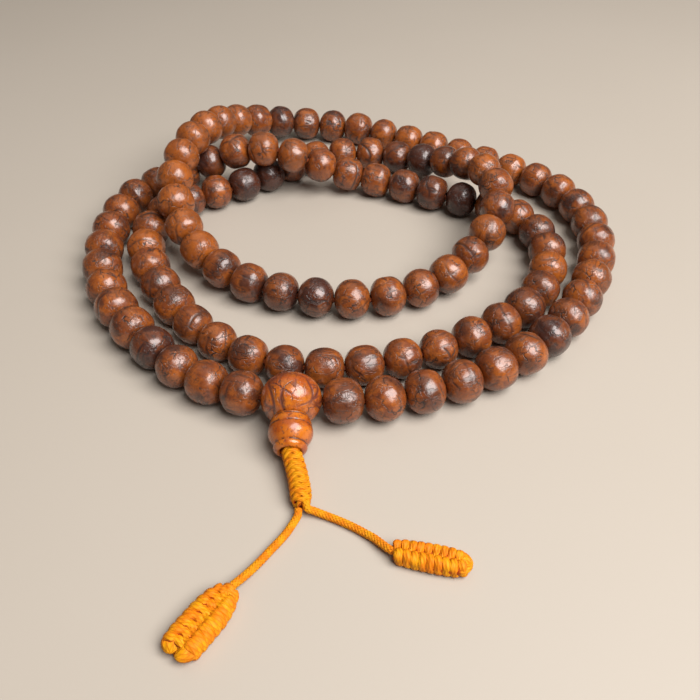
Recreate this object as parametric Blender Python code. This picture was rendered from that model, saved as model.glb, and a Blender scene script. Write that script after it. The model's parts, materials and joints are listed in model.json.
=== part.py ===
"""Mala prayer beads laid down in three loops: 108 seed beads and a guru bead on one closed string,
a two-tier tower bead, a wrapped gathering knot and two tail cords that end in woven leaf knots.

Metres, +Z up. The table is z = 0 and the guru bead is at the front, towards -Y.
"""

import math

import bmesh
import bpy
from mathutils import Matrix, Vector

# Seed beads and the string.
BEAD_COUNT = 108
BEAD_RADIUS = 0.0050  # from the string to a flat of the waist
BEAD_HALF_LENGTH = 0.00435
BEAD_BORE_RADIUS = 0.00115
BEAD_SIDES = 12
RUN_RADIUS = 0.0051  # to a corner of the waist
RUN_NECK_RADIUS = 0.0018
RUN_SIDES = 8
STRING_RADIUS = 0.00075

# Guru bead, with the two string holes and the one for the doubled cord.
GURU_CENTRE = Vector((-0.0135, -0.0594, 0.0069))
GURU_RADIUS = 0.0069
GURU_DEPTH = 0.87  # its half length along the drop, as a share of its radius
GURU_FOOT_RADIUS = 0.0016
GURU_MOUTH_RADIUS = 0.0025

# The drop: tower bead, gathering knot and tails. Distances run from the guru bead's centre.
DROP_TURN = math.radians(2)  # to the right of -Y
DROP_FALL = math.radians(12)  # below level
TOWER_BORE_RADIUS = 0.0014
SEAT_GAP = 0.00035  # between the guru bead and the tower bead
STEM_RADIUS = 0.0010
STEM_START = 0.0024
STEM_END = 0.0136
KNOT_RADIUS = 0.0023
KNOT_END = Vector((-0.0104, -0.0837, 0.0023))
TAIL_RADIUS = 0.00085
TAIL_STEP = 0.0034  # between the points of a tail's spline

# Leaf knots: a flat oval sleeve around the last stretch of each tail.
LEFT_LEAF_HALF_WIDTH = 0.0037
RIGHT_LEAF_HALF_WIDTH = 0.0028
LEAF_HALF_THICKNESS = 0.0017
LEAF_BORE_RADIUS = 0.00115
LEAF_SIDES = 16

# The string's route from the guru bead's right side, three times round, to its left side.
STRING_ROUTE = [
    (-0.0067, -0.0592, 0.0063),
    (0.0072, -0.0576, 0.0053),
    (0.0250, -0.0519, 0.0050),
    (0.0420, -0.0420, 0.0050),
    (0.0560, -0.0270, 0.0052),
    (0.0660, -0.0090, 0.0054),
    (0.0710, 0.0105, 0.0053),
    (0.0680, 0.0290, 0.0050),
    (0.0580, 0.0435, 0.0050),
    (0.0435, 0.0540, 0.0050),
    (0.0275, 0.0640, 0.0050),
    (0.0105, 0.0730, 0.0050),
    (-0.0075, 0.0790, 0.0051),
    (-0.0250, 0.0785, 0.0068),
    (-0.0385, 0.0685, 0.0120),
    (-0.0460, 0.0538, 0.0176),
    (-0.0505, 0.0377, 0.0195),
    (-0.0530, 0.0235, 0.0162),
    (-0.0500, 0.0085, 0.0118),
    (-0.0415, -0.0045, 0.0074),
    (-0.0285, -0.0145, 0.0053),
    (-0.0110, -0.0205, 0.0050),
    (0.0070, -0.0205, 0.0050),
    (0.0240, -0.0130, 0.0058),
    (0.0355, -0.0003, 0.0088),
    (0.0424, 0.0135, 0.0138),
    (0.0401, 0.0292, 0.0158),
    (0.0320, 0.0425, 0.0110),
    (0.0205, 0.0530, 0.0060),
    (0.0055, 0.0590, 0.0050),
    (-0.0105, 0.0570, 0.0050),
    (-0.0235, 0.0472, 0.0050),
    (-0.0362, 0.0358, 0.0050),
    (-0.0495, 0.0292, 0.0050),
    (-0.0585, 0.0165, 0.0052),
    (-0.0590, 0.0010, 0.0052),
    (-0.0525, -0.0140, 0.0053),
    (-0.0415, -0.0305, 0.0050),
    (-0.0260, -0.0430, 0.0050),
    (-0.0075, -0.0475, 0.0050),
    (0.0110, -0.0440, 0.0050),
    (0.0285, -0.0365, 0.0050),
    (0.0450, -0.0240, 0.0053),
    (0.0545, -0.0060, 0.0054),
    (0.0543, 0.0121, 0.0053),
    (0.0445, 0.0250, 0.0050),
    (0.0290, 0.0310, 0.0050),
    (0.0140, 0.0385, 0.0050),
    (-0.0020, 0.0431, 0.0060),
    (-0.0147, 0.0409, 0.0120),
    (-0.0260, 0.0407, 0.0159),
    (-0.0371, 0.0429, 0.0145),
    (-0.0480, 0.0435, 0.0082),
    (-0.0584, 0.0403, 0.0056),
    (-0.0673, 0.0309, 0.0050),
    (-0.0708, 0.0120, 0.0050),
    (-0.0695, -0.0060, 0.0051),
    (-0.0625, -0.0235, 0.0052),
    (-0.0490, -0.0405, 0.0050),
    (-0.0345, -0.0525, 0.0051),
    (-0.0205, -0.0583, 0.0063),
]

# The tails' routes from the gathering knot to the tip of each leaf knot.
LEFT_TAIL_ROUTE = [
    (-0.0107, -0.0866, 0.0014),
    (-0.0112, -0.0876, 0.0011),
    (-0.0118, -0.0888, 0.0010),
    (-0.0125, -0.0901, 0.0009),
    (-0.0133, -0.0914, 0.0009),
    (-0.0143, -0.0928, 0.0009),
    (-0.0155, -0.0944, 0.0009),
    (-0.0168, -0.0963, 0.0010),
    (-0.0183, -0.0984, 0.0012),
    (-0.0200, -0.1006, 0.0015),
    (-0.0220, -0.1029, 0.0018),
    (-0.0231, -0.1046, 0.0018),
    (-0.0253, -0.1079, 0.0018),
    (-0.0276, -0.1114, 0.0018),
    (-0.0300, -0.1150, 0.0018),
]
RIGHT_TAIL_ROUTE = [
    (-0.0088, -0.0853, 0.0020),
    (-0.0074, -0.0856, 0.0015),
    (-0.0059, -0.0860, 0.0011),
    (-0.0042, -0.0866, 0.0009),
    (-0.0024, -0.0874, 0.0009),
    (-0.0006, -0.0883, 0.0009),
    (0.0012, -0.0893, 0.0009),
    (0.0030, -0.0905, 0.0010),
    (0.0047, -0.0918, 0.0013),
    (0.0062, -0.0933, 0.0016),
    (0.0078, -0.0947, 0.0018),
    (0.0094, -0.0951, 0.0018),
    (0.0133, -0.0959, 0.0018),
    (0.0177, -0.0968, 0.0018),
    (0.0220, -0.0977, 0.0018),
]
# The last stretch of each tail is straight, and the leaf knot wraps it from here to the tip.
LEAF_START = 10
LEAF_TIP = 0.0012  # past the cord's end

# Seed beads come in three shades, one bead after the other.
SEED_SHADES = [
    ("seed_dark", (0.080, 0.021, 0.009, 1.0)),
    ("seed_brown", (0.120, 0.031, 0.012, 1.0)),
    ("seed_light", (0.165, 0.045, 0.016, 1.0)),
]
GURU_ORANGE = (0.270, 0.062, 0.014, 1.0)
TOWER_ORANGE = (0.330, 0.090, 0.015, 1.0)
CORD_YELLOW = (0.870, 0.300, 0.008, 1.0)


def clear_scene():
    for item in list(bpy.data.objects):
        bpy.data.objects.remove(item, do_unlink=True)


def material(name, colour, roughness):
    made = bpy.data.materials.get(name) or bpy.data.materials.new(name)
    made.use_nodes = True
    shader = made.node_tree.nodes["Principled BSDF"]
    shader.inputs["Base Color"].default_value = colour
    shader.inputs["Roughness"].default_value = roughness
    shader.inputs["Metallic"].default_value = 0.0
    made.diffuse_color = colour
    return made


def seed_material(index):
    name, colour = SEED_SHADES[index % len(SEED_SHADES)]
    return material(name, colour, 0.38)


def smooth_curve(points, steps=16):
    """A centripetal Catmull-Rom curve through the points, as closely spaced places."""
    knots = [Vector(p) for p in points]
    knots = [2 * knots[0] - knots[1], *knots, 2 * knots[-1] - knots[-2]]
    places = []
    for p0, p1, p2, p3 in zip(knots, knots[1:], knots[2:], knots[3:]):
        t1 = math.sqrt((p1 - p0).length)
        t2 = t1 + math.sqrt((p2 - p1).length)
        t3 = t2 + math.sqrt((p3 - p2).length)
        for step in range(steps):
            t = t1 + (t2 - t1) * step / steps
            a1 = p0.lerp(p1, t / t1)
            a2 = p1.lerp(p2, (t - t1) / (t2 - t1))
            a3 = p2.lerp(p3, (t - t2) / (t3 - t2))
            b1 = a1.lerp(a2, t / t2)
            b2 = a2.lerp(a3, (t - t1) / (t3 - t1))
            places.append(b1.lerp(b2, (t - t1) / (t2 - t1)))
    places.append(knots[-2])
    return places


def evenly_spaced(places, count):
    """The curve's places read again as count equal steps along it."""
    lengths = [0.0]
    for start, end in zip(places, places[1:]):
        lengths.append(lengths[-1] + (end - start).length)
    spaced = []
    index = 0
    for step in range(count + 1):
        wanted = lengths[-1] * step / count
        while index < len(places) - 2 and lengths[index + 1] < wanted:
            index += 1
        share = (wanted - lengths[index]) / (lengths[index + 1] - lengths[index])
        spaced.append(places[index].lerp(places[index + 1], share))
    return spaced


def string_gaps():
    """The places between beads, from the guru bead's right side round to its left."""
    gaps = evenly_spaced(smooth_curve(STRING_ROUTE), BEAD_COUNT)
    for gap in gaps:
        gap.z = max(gap.z, BEAD_RADIUS)
    return gaps


def frame_along(axis):
    """A rotation whose X is the axis and whose Z is as near to up as it can be."""
    x = axis.normalized()
    y = Vector((0, 0, 1)).cross(x).normalized()
    z = x.cross(y)
    return Matrix((x, y, z)).transposed()


def ring(centre, frame, half_width, half_height, sides):
    """A ring across the frame's X axis, with one of its flats facing straight down."""
    places = []
    for side in range(sides):
        angle = 2 * math.pi * (side + 0.5) / sides - math.pi / 2
        across = Vector((0, half_width * math.cos(angle), half_height * math.sin(angle)))
        places.append(centre + frame @ across)
    return places


def skin(name, rings, looped, finish, smooth=True):
    """A mesh object over successive rings: closed on itself when looped, otherwise capped."""
    mesh = bmesh.new()
    loops = [[mesh.verts.new(place) for place in places] for places in rings]
    pairs = list(zip(loops, loops[1:] + loops[:1] if looped else loops[1:]))
    for near, far in pairs:
        sides = len(near)
        for side in range(sides):
            after = (side + 1) % sides
            mesh.faces.new((near[side], near[after], far[after], far[side]))
    if not looped:
        mesh.faces.new(loops[0])
        mesh.faces.new(loops[-1])
    bmesh.ops.recalc_face_normals(mesh, faces=mesh.faces)
    data = bpy.data.meshes.new(name)
    mesh.to_mesh(data)
    mesh.free()
    data.materials.append(finish)
    if smooth:
        data.shade_smooth()
    made = bpy.data.objects.new(name, data)
    bpy.context.scene.collection.objects.link(made)
    return made


def bead_outline(waist):
    """Half of a bead's outline from its waist to its bore, as distance along and radius."""
    return [
        (0.30 * BEAD_HALF_LENGTH, waist),
        (0.80 * BEAD_HALF_LENGTH, 0.72 * waist),
    ]


def seed_bead(index, start, end):
    """One bored bead around the stretch of string from start to end, its origin at its centre."""
    waist = BEAD_RADIUS / math.cos(math.pi / BEAD_SIDES)
    half = bead_outline(waist)
    edge = (BEAD_HALF_LENGTH, BEAD_BORE_RADIUS)
    outline = [(-edge[0], edge[1])]
    outline += [(-along, radius) for along, radius in reversed(half)]
    outline += half + [edge]
    rings = [
        ring(Vector((along, 0, 0)), Matrix.Identity(3), radius, radius, BEAD_SIDES)
        for along, radius in outline
    ]
    bead = skin(f"bead_{index:03d}", rings, True, seed_material(index))
    bead.location = (start + end) / 2
    bead.rotation_euler = frame_along(end - start).to_euler()
    return bead


def bead_run(first, gaps):
    """Beads joined by thin necks into one body, bored along the whole run."""
    middles = [(a + b) / 2 for a, b in zip(gaps, gaps[1:])]
    axes = [(b - a).normalized() for a, b in zip(gaps, gaps[1:])]
    half = bead_outline(RUN_RADIUS)
    frames = [frame_along(axis) for axis in axes]
    bore = []
    outside = []
    last = len(middles) - 1
    for place, (middle, axis, frame) in enumerate(zip(middles, axes, frames)):
        if place == 0:
            edge = middle - BEAD_HALF_LENGTH * axis
            bore.append(ring(edge, frame, BEAD_BORE_RADIUS, BEAD_BORE_RADIUS, RUN_SIDES))
        else:
            between = frame_along(axis + axes[place - 1])
            neck = (RUN_NECK_RADIUS, RUN_NECK_RADIUS)
            outside.append(ring(gaps[place], between, *neck, RUN_SIDES))
            hole = (BEAD_BORE_RADIUS, BEAD_BORE_RADIUS)
            bore.append(ring(gaps[place], between, *hole, RUN_SIDES))
        for along, radius in [(-a, r) for a, r in reversed(half)] + half:
            outside.append(ring(middle + along * axis, frame, radius, radius, RUN_SIDES))
        if place == last:
            edge = middle + BEAD_HALF_LENGTH * axis
            bore.append(ring(edge, frame, BEAD_BORE_RADIUS, BEAD_BORE_RADIUS, RUN_SIDES))
    name = f"beads_{first:03d}_{first + last:03d}"
    return skin(name, outside + bore[::-1], True, seed_material(first))


def stringing_cord(gaps):
    """The closed string, with a corner in every gap and straight through every bead."""
    curve = bpy.data.curves.new("stringing_cord", "CURVE")
    curve.dimensions = "3D"
    curve.bevel_depth = STRING_RADIUS
    curve.bevel_resolution = 1
    curve.resolution_u = 1
    curve.use_fill_caps = True
    places = [*gaps, GURU_CENTRE]
    spline = curve.splines.new("POLY")
    spline.points.add(len(places) - 1)
    for point, place in zip(spline.points, places):
        point.co = (*place, 1.0)
    spline.use_cyclic_u = True
    curve.materials.append(material("cord", CORD_YELLOW, 0.75))
    made = bpy.data.objects.new("stringing_cord", curve)
    bpy.context.scene.collection.objects.link(made)
    return made


def cutter(name, start, end, start_radius, end_radius, sides=16):
    """A tapered round cutter from start to end."""
    frame = frame_along(end - start)
    rings = [
        ring(start, frame, start_radius, start_radius, sides),
        ring(end, frame, end_radius, end_radius, sides),
    ]
    made = skin(name, rings, False, material("cutters", (0.5, 0.5, 0.5, 1.0), 0.5), smooth=False)
    made.hide_render = True
    made.display_type = "WIRE"
    return made


def drop_axis():
    """The direction in which the tower bead and its stem leave the guru bead."""
    level = math.cos(DROP_FALL)
    return Vector(
        (level * math.sin(DROP_TURN), -level * math.cos(DROP_TURN), -math.sin(DROP_FALL))
    )


def drawn_in(place):
    """A place on the ball, nearer to its middle by GURU_DEPTH along the drop."""
    axis = drop_axis()
    return place - (1 - GURU_DEPTH) * place.dot(axis) * axis


def guru_bead(gaps):
    """A ball, shorter along the drop, with a flat foot, two string holes and a flared front one."""
    rings = []
    foot = math.asin(GURU_FOOT_RADIUS / GURU_RADIUS)
    bands = 12
    flat = Matrix(((0, 0, 1), (1, 0, 0), (0, 1, 0))).transposed()
    for band in range(bands + 1):
        angle = foot + (math.pi - 2 * foot) * band / bands
        height = -GURU_CENTRE.z if band == 0 else -GURU_RADIUS * math.cos(angle)
        radius = GURU_RADIUS * math.sin(angle)
        places = ring(Vector((0, 0, height)), flat, radius, radius, 24)
        rings.append([drawn_in(place) for place in places])
    for place in rings[0]:
        place.z = -GURU_CENTRE.z
    bead = skin("guru_bead", rings, False, material("guru", GURU_ORANGE, 0.33))
    bead.location = GURU_CENTRE
    holes = [
        cutter(
            "guru_hole_front",
            GURU_CENTRE - 0.0010 * drop_axis(),
            GURU_CENTRE + 0.0070 * drop_axis(),
            0.0013,
            GURU_MOUTH_RADIUS,
        )
    ]
    for side, gap in [("right", gaps[0]), ("left", gaps[-1])]:
        inner = GURU_CENTRE.lerp(gap, -0.1)
        outer = GURU_CENTRE.lerp(gap, 1.3)
        hole = cutter(f"guru_hole_{side}", inner, outer, BEAD_BORE_RADIUS, BEAD_BORE_RADIUS)
        holes.append(hole)
    for hole in holes:
        cut = bead.modifiers.new(hole.name, "BOOLEAN")
        cut.operation = "DIFFERENCE"
        cut.solver = "EXACT"
        cut.object = hole
    return bead


def tower_bead():
    """A turned bead around the stem: a cupped seat, a wide tier, a groove and a small lip."""

    def seat(radius):
        return (GURU_DEPTH * math.sqrt(GURU_RADIUS**2 - radius**2) + SEAT_GAP, radius)

    outline = [
        seat(TOWER_BORE_RADIUS),
        seat(0.0026),
        seat(0.0038),
        (0.0057, 0.0042),
        (0.0068, 0.0046),
        (0.0080, 0.0049),
        (0.0090, 0.0049),
        (0.0101, 0.0046),
        (0.0111, 0.0040),
        (0.0119, 0.0035),
        (0.0124, 0.0037),
        (0.0129, 0.0035),
        (0.0133, 0.0029),
        (0.0133, TOWER_BORE_RADIUS),
    ]
    rings = [
        ring(Vector((along, 0, 0)), Matrix.Identity(3), radius, radius, 20)
        for along, radius in outline
    ]
    bead = skin("tower_bead", rings, True, material("tower", TOWER_ORANGE, 0.33))
    bead.location = GURU_CENTRE
    bead.rotation_euler = frame_along(drop_axis()).to_euler()
    return bead


def gather_knot():
    """The doubled cord through the tower bead and the wrapped knot below it, as one piece."""
    axis = drop_axis()
    stem_end = GURU_CENTRE + STEM_END * axis
    lean = KNOT_END - stem_end
    down = frame_along(axis)
    along = frame_along(lean)
    bend = frame_along(axis + lean.normalized())
    rings = [
        ring(GURU_CENTRE + STEM_START * axis, down, STEM_RADIUS, STEM_RADIUS, 12),
        ring(stem_end, bend, STEM_RADIUS, STEM_RADIUS, 12),
    ]
    for share, size in [
        (0.01, 0.80),
        (0.06, 0.97),
        (0.25, 1.00),
        (0.50, 0.96),
        (0.75, 1.00),
        (0.94, 0.97),
        (1.00, 0.75),
    ]:
        radius = size * KNOT_RADIUS
        rings.append(ring(stem_end + share * lean, along, radius, radius, 12))
    knot = skin("gather_knot", rings, False, material("cord", CORD_YELLOW, 0.75))
    return knot


def tail_places(route):
    places = smooth_curve(route)
    length = sum((b - a).length for a, b in zip(places, places[1:]))
    return evenly_spaced(places, round(length / TAIL_STEP))


def tail_cord(name, route):
    """A tail cord from the gathering knot to the end of its core inside the leaf knot."""
    places = tail_places(route)
    curve = bpy.data.curves.new(name, "CURVE")
    curve.dimensions = "3D"
    curve.bevel_depth = TAIL_RADIUS
    curve.bevel_resolution = 2
    curve.resolution_u = 1
    curve.use_fill_caps = True
    spline = curve.splines.new("POLY")
    spline.points.add(len(places) - 1)
    for point, place in zip(spline.points, places):
        point.co = (*place, 1.0)
    curve.materials.append(material("cord", CORD_YELLOW, 0.75))
    made = bpy.data.objects.new(name, curve)
    bpy.context.scene.collection.objects.link(made)
    return made


def leaf_knot(name, route, half_width):
    """A flat oval sleeve, blunt at the tip, with a blind bore for the cord's last stretch."""
    start = Vector(route[LEAF_START])
    core_end = Vector(route[-1])
    axis = (core_end - start).normalized()
    frame = frame_along(axis)
    length = (core_end - start).length + LEAF_TIP
    hole = (LEAF_BORE_RADIUS, LEAF_BORE_RADIUS)
    blind = ring(start + (length - LEAF_TIP / 2) * axis, frame, *hole, LEAF_SIDES)
    rings = [blind, ring(start, frame, *hole, LEAF_SIDES)]
    for share, width, thickness in [
        (0.00, 0.46, 0.90),
        (0.08, 0.72, 0.96),
        (0.22, 0.94, 1.00),
        (0.50, 1.00, 1.00),
        (0.80, 0.97, 1.00),
        (0.93, 0.80, 0.92),
        (1.00, 0.45, 0.60),
    ]:
        size = (width * half_width, thickness * LEAF_HALF_THICKNESS)
        rings.append(ring(start + share * length * axis, frame, *size, LEAF_SIDES))
    return skin(name, rings, False, material("cord", CORD_YELLOW, 0.75))


# Beads that are pieces of their own; the rest are joined into runs of eight.
RUN_LENGTH = 8
RUN_STARTS = [9, 17, 25, 45, 53, 81, 89, 97]


def build():
    clear_scene()
    gaps = string_gaps()
    stringing_cord(gaps)
    in_runs = set()
    for first in RUN_STARTS:
        bead_run(first, gaps[first - 1 : first + RUN_LENGTH])
        in_runs.update(range(first, first + RUN_LENGTH))
    for index in range(1, BEAD_COUNT + 1):
        if index not in in_runs:
            seed_bead(index, gaps[index - 1], gaps[index])
    guru_bead(gaps)
    tower_bead()
    gather_knot()
    tail_cord("tail_cord_left", LEFT_TAIL_ROUTE)
    tail_cord("tail_cord_right", RIGHT_TAIL_ROUTE)
    leaf_knot("leaf_knot_left", LEFT_TAIL_ROUTE, LEFT_LEAF_HALF_WIDTH)
    leaf_knot("leaf_knot_right", RIGHT_TAIL_ROUTE, RIGHT_LEAF_HALF_WIDTH)


build()
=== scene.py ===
"""Looks of the mala prayer beads: polished seeds on a string, guru and tower beads, braided tails
and knots of orange cord, on a pale floor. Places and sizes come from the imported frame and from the
routes that the cords follow.
"""

import json
import math
import random

import bpy
import numpy as np
from mathutils import Matrix, Vector


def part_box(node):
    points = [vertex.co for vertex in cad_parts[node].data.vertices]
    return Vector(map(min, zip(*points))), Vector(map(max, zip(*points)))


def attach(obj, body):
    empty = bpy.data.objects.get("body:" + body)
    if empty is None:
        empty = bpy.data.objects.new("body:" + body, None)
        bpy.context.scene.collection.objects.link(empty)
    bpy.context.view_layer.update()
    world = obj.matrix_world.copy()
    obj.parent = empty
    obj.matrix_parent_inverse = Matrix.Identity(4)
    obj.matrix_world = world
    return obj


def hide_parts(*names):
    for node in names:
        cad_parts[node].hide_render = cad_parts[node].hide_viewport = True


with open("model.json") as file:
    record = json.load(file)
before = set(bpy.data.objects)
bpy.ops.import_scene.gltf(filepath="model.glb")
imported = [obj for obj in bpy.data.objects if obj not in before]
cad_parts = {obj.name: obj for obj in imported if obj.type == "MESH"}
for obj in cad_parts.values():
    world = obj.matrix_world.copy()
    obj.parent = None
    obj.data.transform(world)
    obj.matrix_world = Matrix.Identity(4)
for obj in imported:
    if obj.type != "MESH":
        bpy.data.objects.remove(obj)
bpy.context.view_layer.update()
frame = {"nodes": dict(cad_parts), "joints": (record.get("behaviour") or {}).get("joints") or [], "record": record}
JOINTS = {joint["name"]: joint for joint in frame["joints"]}
NODE_BODY = {
    node: body for body, nodes in frame["record"]["behaviour"]["bodies"].items() for node in nodes
}

# Camera, as seen from in front of the guru bead.
CAMERA_TARGET = Vector((-0.0005, -0.0352, 0.0))
CAMERA_DISTANCE = 0.1927
CAMERA_ELEVATION = math.radians(42.24)
CAMERA_ROLL = math.radians(0.6)
CAMERA_LENS = 39.1

# Seed beads.
BEAD_COUNT = 108
BEAD_RADIUS = 0.5 * (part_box("bead_106")[1].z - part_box("bead_106")[0].z)
BEAD_SQUARENESS = 2.25  # 2 is a true ellipse
BORE_RADIUS = 0.0008
BORE_MARGIN = 0.00015  # the skin's edge stands this far outside the bore
BEAD_SIDES = 72
BEAD_RINGS = 44
BLACKISH_BEADS = {52, 58, 59, 85}
DARK_BEADS = {7, 26, 39, 40, 53, 78, 82, 86, 87, 94, 105}
# Lighter beads: partly their own lighter, orange tone and partly painted highlight for the broad highlight they
# catch.
LIGHT_AND_HIGHLIT_BEADS = {10, 17, 20, 21, 28, 29, 30, 31, 32, 33, 34, 35, 36, 46, 49, 64, 80, 91, 92}
# How large the beads are across, as shares of BEAD_RADIUS, from each of these beads on.
BEAD_SIZES = [
    (1, 1.05),
    (7, 1.06),
    (17, 1.03),
    (23, 1.07),
    (35, 1.05),
    (46, 1.01),
    (52, 1.04),
    (62, 1.07),
    (68, 0.98),
    (76, 1.05),
    (88, 1.06),
    (97, 1.08),
    (105, 1.04),
]

# Guru bead, tower bead and the drop below them.
GURU_CENTRE = Vector(JOINTS["drop_swing"]["pos_m"])
GURU_RADIUS = GURU_CENTRE.z
GURU_DEPTH = 0.865  # its half length along the drop, as a share of its radius
GURU_SIDES = 128
GURU_RINGS = 90
GURU_SEAMS = 11
TOWER_SIDES = 96
DROP_AXIS = Vector(JOINTS["tower_spin"]["axis"]).normalized()
MOUTH_BOTTOM = 0.0124  # of the tower bead, from the guru bead's centre along the drop
LEFT_HINGE = Vector(JOINTS["tail_left_swing"]["pos_m"])
RIGHT_HINGE = Vector(JOINTS["tail_right_swing"]["pos_m"])

# Cord: the tails, the doubled cord in the tower bead, and the knots.
CORD_DIAMETER = 0.0017
PLAIT_CORE_RADIUS = 0.00055
TAIL_ROOT = 0.0013  # how far a tail reaches into the gathering knot
RIGHT_ROOT_LIFT = 0.0007  # how much higher the right tail's root is, to pass over the left one
STEM_RADIUS = 0.0011
KNOT_CORE_RADIUS = 0.0013
KNOT_BRAID_RADIUS = 0.00168  # to the middle of its strands
KNOT_STRAND_RADIUS = 0.00066
KNOT_PITCH = 0.0043
LEAF_CORD_RADIUS = 0.00078  # half the thickness of the flat cord that winds round
LEAF_OVERHANG = 0.0006  # how far a leaf knot reaches past the end of its tail

# The string's route from the guru bead's right side, three times round, to its left side.
STRING_ROUTE = [
    (-0.0067, -0.0592, 0.0063),
    (0.0072, -0.0576, 0.0053),
    (0.0250, -0.0519, 0.0050),
    (0.0420, -0.0420, 0.0050),
    (0.0560, -0.0270, 0.0052),
    (0.0660, -0.0090, 0.0054),
    (0.0710, 0.0105, 0.0053),
    (0.0680, 0.0290, 0.0050),
    (0.0580, 0.0435, 0.0050),
    (0.0435, 0.0540, 0.0050),
    (0.0275, 0.0640, 0.0050),
    (0.0105, 0.0730, 0.0050),
    (-0.0075, 0.0790, 0.0051),
    (-0.0250, 0.0785, 0.0068),
    (-0.0385, 0.0685, 0.0120),
    (-0.0460, 0.0538, 0.0176),
    (-0.0505, 0.0377, 0.0195),
    (-0.0530, 0.0235, 0.0162),
    (-0.0500, 0.0085, 0.0118),
    (-0.0415, -0.0045, 0.0074),
    (-0.0285, -0.0145, 0.0053),
    (-0.0110, -0.0205, 0.0050),
    (0.0070, -0.0205, 0.0050),
    (0.0240, -0.0130, 0.0058),
    (0.0355, -0.0003, 0.0088),
    (0.0424, 0.0135, 0.0138),
    (0.0401, 0.0292, 0.0158),
    (0.0320, 0.0425, 0.0110),
    (0.0205, 0.0530, 0.0060),
    (0.0055, 0.0590, 0.0050),
    (-0.0105, 0.0570, 0.0050),
    (-0.0235, 0.0472, 0.0050),
    (-0.0362, 0.0358, 0.0050),
    (-0.0495, 0.0292, 0.0050),
    (-0.0585, 0.0165, 0.0052),
    (-0.0590, 0.0010, 0.0052),
    (-0.0525, -0.0140, 0.0053),
    (-0.0415, -0.0305, 0.0050),
    (-0.0260, -0.0430, 0.0050),
    (-0.0075, -0.0475, 0.0050),
    (0.0110, -0.0440, 0.0050),
    (0.0285, -0.0365, 0.0050),
    (0.0450, -0.0240, 0.0053),
    (0.0545, -0.0060, 0.0054),
    (0.0543, 0.0121, 0.0053),
    (0.0445, 0.0250, 0.0050),
    (0.0290, 0.0310, 0.0050),
    (0.0140, 0.0385, 0.0050),
    (-0.0020, 0.0431, 0.0060),
    (-0.0147, 0.0409, 0.0120),
    (-0.0260, 0.0407, 0.0159),
    (-0.0371, 0.0429, 0.0145),
    (-0.0480, 0.0435, 0.0082),
    (-0.0584, 0.0403, 0.0056),
    (-0.0673, 0.0309, 0.0050),
    (-0.0708, 0.0120, 0.0050),
    (-0.0695, -0.0060, 0.0051),
    (-0.0625, -0.0235, 0.0052),
    (-0.0490, -0.0405, 0.0050),
    (-0.0345, -0.0525, 0.0051),
    (-0.0205, -0.0583, 0.0063),
]

# The tails' routes from the gathering knot to the tip of each leaf knot. The leaf knots wrap the
# last, straight stretch of the tails.
LEFT_TAIL_ROUTE = [
    (-0.0107, -0.0866, 0.0014),
    (-0.0112, -0.0876, 0.0011),
    (-0.0118, -0.0888, 0.0010),
    (-0.0125, -0.0901, 0.0009),
    (-0.0133, -0.0914, 0.0009),
    (-0.0143, -0.0928, 0.0009),
    (-0.0155, -0.0944, 0.0009),
    (-0.0168, -0.0963, 0.0010),
    (-0.0183, -0.0984, 0.0012),
    (-0.0200, -0.1006, 0.0015),
    (-0.0220, -0.1029, 0.0018),
    (-0.0231, -0.1046, 0.0018),
    (-0.0253, -0.1079, 0.0018),
    (-0.0276, -0.1114, 0.0018),
    (-0.0300, -0.1150, 0.0018),
]
RIGHT_TAIL_ROUTE = [
    (-0.0088, -0.0853, 0.0020),
    (-0.0074, -0.0856, 0.0015),
    (-0.0059, -0.0860, 0.0011),
    (-0.0042, -0.0866, 0.0009),
    (-0.0024, -0.0874, 0.0009),
    (-0.0006, -0.0883, 0.0009),
    (0.0012, -0.0893, 0.0009),
    (0.0030, -0.0905, 0.0010),
    (0.0047, -0.0918, 0.0013),
    (0.0062, -0.0933, 0.0016),
    (0.0078, -0.0947, 0.0018),
    (0.0094, -0.0951, 0.0018),
    (0.0133, -0.0959, 0.0018),
    (0.0177, -0.0968, 0.0018),
    (0.0220, -0.0977, 0.0018),
]
LEAF_START = 10

# The leaf knots, in metres where no share is meant. The cord winds round in a number of wraps.
# Its turns cross at the seam, which lies a share of half the width from the middle, and lean over
# each other there by the overlap. A turn's half breadth is a share of the distance between turns,
# and it narrows within the pinch's reach of each pinch. The cores' tips are drawn together by the
# closed share. The swells are the knot's widths at these shares of its length.
LEFT_KNOT = {
    "wraps": 8,
    "width": 0.0077,
    "thickness": 0.0035,
    "seam": 0.10,
    "overlap": 0.0007,
    "breadth": 0.68,
    "pinches": (-0.0010, 0.0010),
    "pinch_reach": 0.0004,
    "closed": 0.75,
    "shares": (0, 0.10, 0.22, 0.40, 0.90, 1.0),
    "swells": (0.42, 0.62, 0.84, 0.98, 1.0, 0.90),
}
RIGHT_KNOT = {
    "wraps": 9,
    "width": 0.0058,
    "thickness": 0.0035,
    "seam": -0.06,
    "overlap": 0.0004,
    "breadth": 0.64,
    "pinches": (0.0002,),
    "pinch_reach": 0.0009,
    "closed": 1.0,
    "shares": (0, 0.10, 0.35, 0.60, 0.85, 1.0),
    "swells": (0.70, 0.82, 0.95, 1.0, 0.93, 0.66),
}

CORD_YELLOW = (0.71, 0.300, 0.0015, 1.0)
CORD_ORANGE = (0.68, 0.190, 0.0010, 1.0)
# The last two are painted shade: the first between yarns, the second on hidden strand sides and cores.
CORD_YARN_SHADE = (0.58, 0.095, 0.0010, 1.0)
CORD_PAINTED_SHADE = (0.34, 0.028, 0.0010, 1.0)
FLOOR_CREAM = (0.42, 0.375, 0.32, 1.0)


# ---- Curves ---------------------------------------------------------------------------------


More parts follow.
